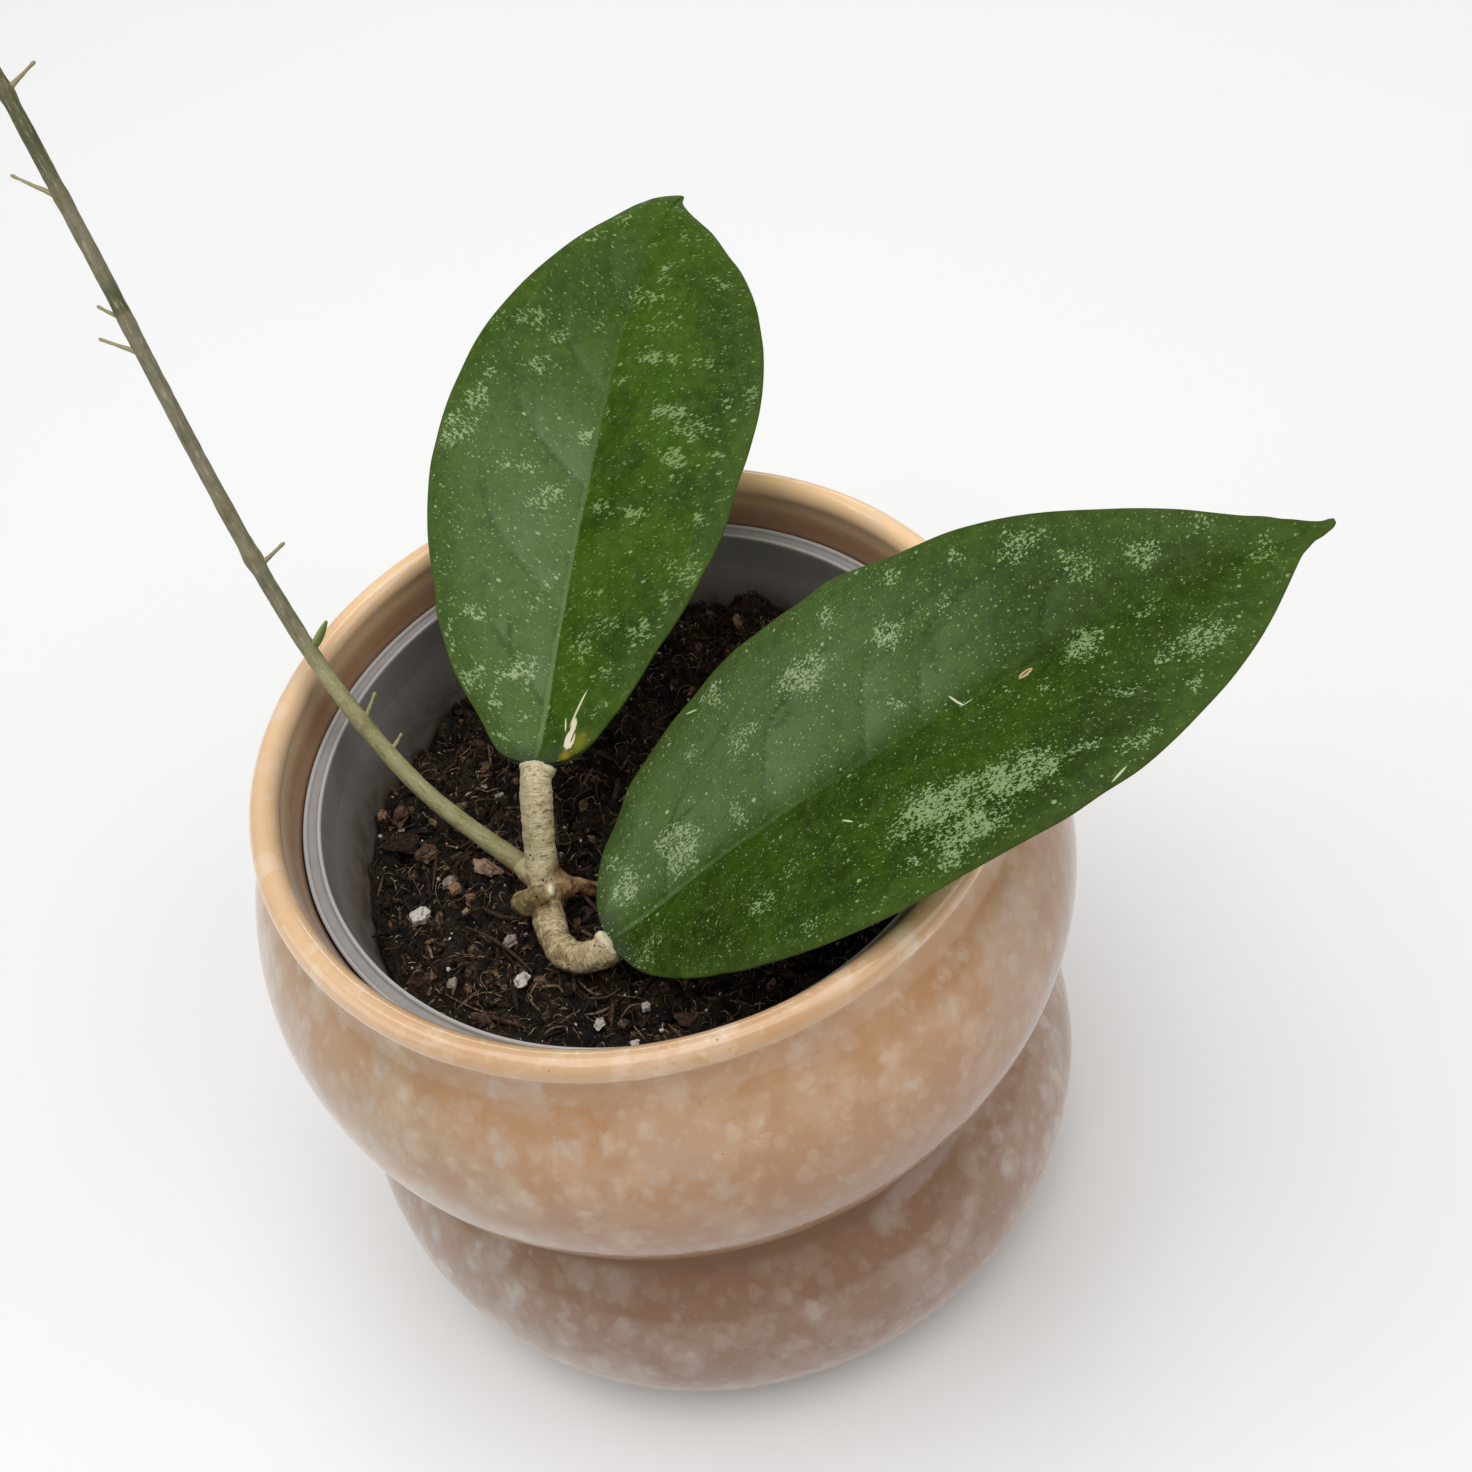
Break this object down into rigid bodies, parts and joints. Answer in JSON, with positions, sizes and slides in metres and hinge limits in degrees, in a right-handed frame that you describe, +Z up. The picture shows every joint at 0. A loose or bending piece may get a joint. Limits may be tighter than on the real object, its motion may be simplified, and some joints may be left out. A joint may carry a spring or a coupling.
{
  "type": "potted hoya vitellina",
  "caption": "Young climbing wax plant with thick speckled oval leaves and a long bare vine, in a plastic nursery pot inside a glazed cover pot with stacked bulges.",
  "frame": {"origin": "centre of the cover pot's flat base, on the surface that it stands on", "axes": "+Z up along the pots' shared axis; +Y to the back, so that the picture looks along +Y and down; the lying leaf points along +X"},
  "size_m": [0.1804, 0.1993, 0.2095],
  "materials": {
    "glaze": "gloss",
    "pot_plastic": "satin",
    "soil": "matte",
    "cork": "matte",
    "vine_bark": "satin",
    "leaf": "satin",
    "perlite": "matte",
    "bark": "matte"
  },
  "bodies": {
    "root": {"cover_pot": "glaze", "nursery_pot": "pot_plastic", "soil": "soil", "stem": "cork", "vine": "vine_bark", "leaf_upper": "leaf", "leaf_right": "leaf", "perlite_1": "perlite", "perlite_2": "perlite", "perlite_3": "perlite", "perlite_4": "perlite", "perlite_5": "perlite", "perlite_6": "perlite", "perlite_7": "perlite", "perlite_8": "perlite", "bark_chip_1": "bark", "bark_chip_2": "bark", "bark_chip_3": "bark", "bark_chip_4": "bark"}
  },
  "joints": []
}
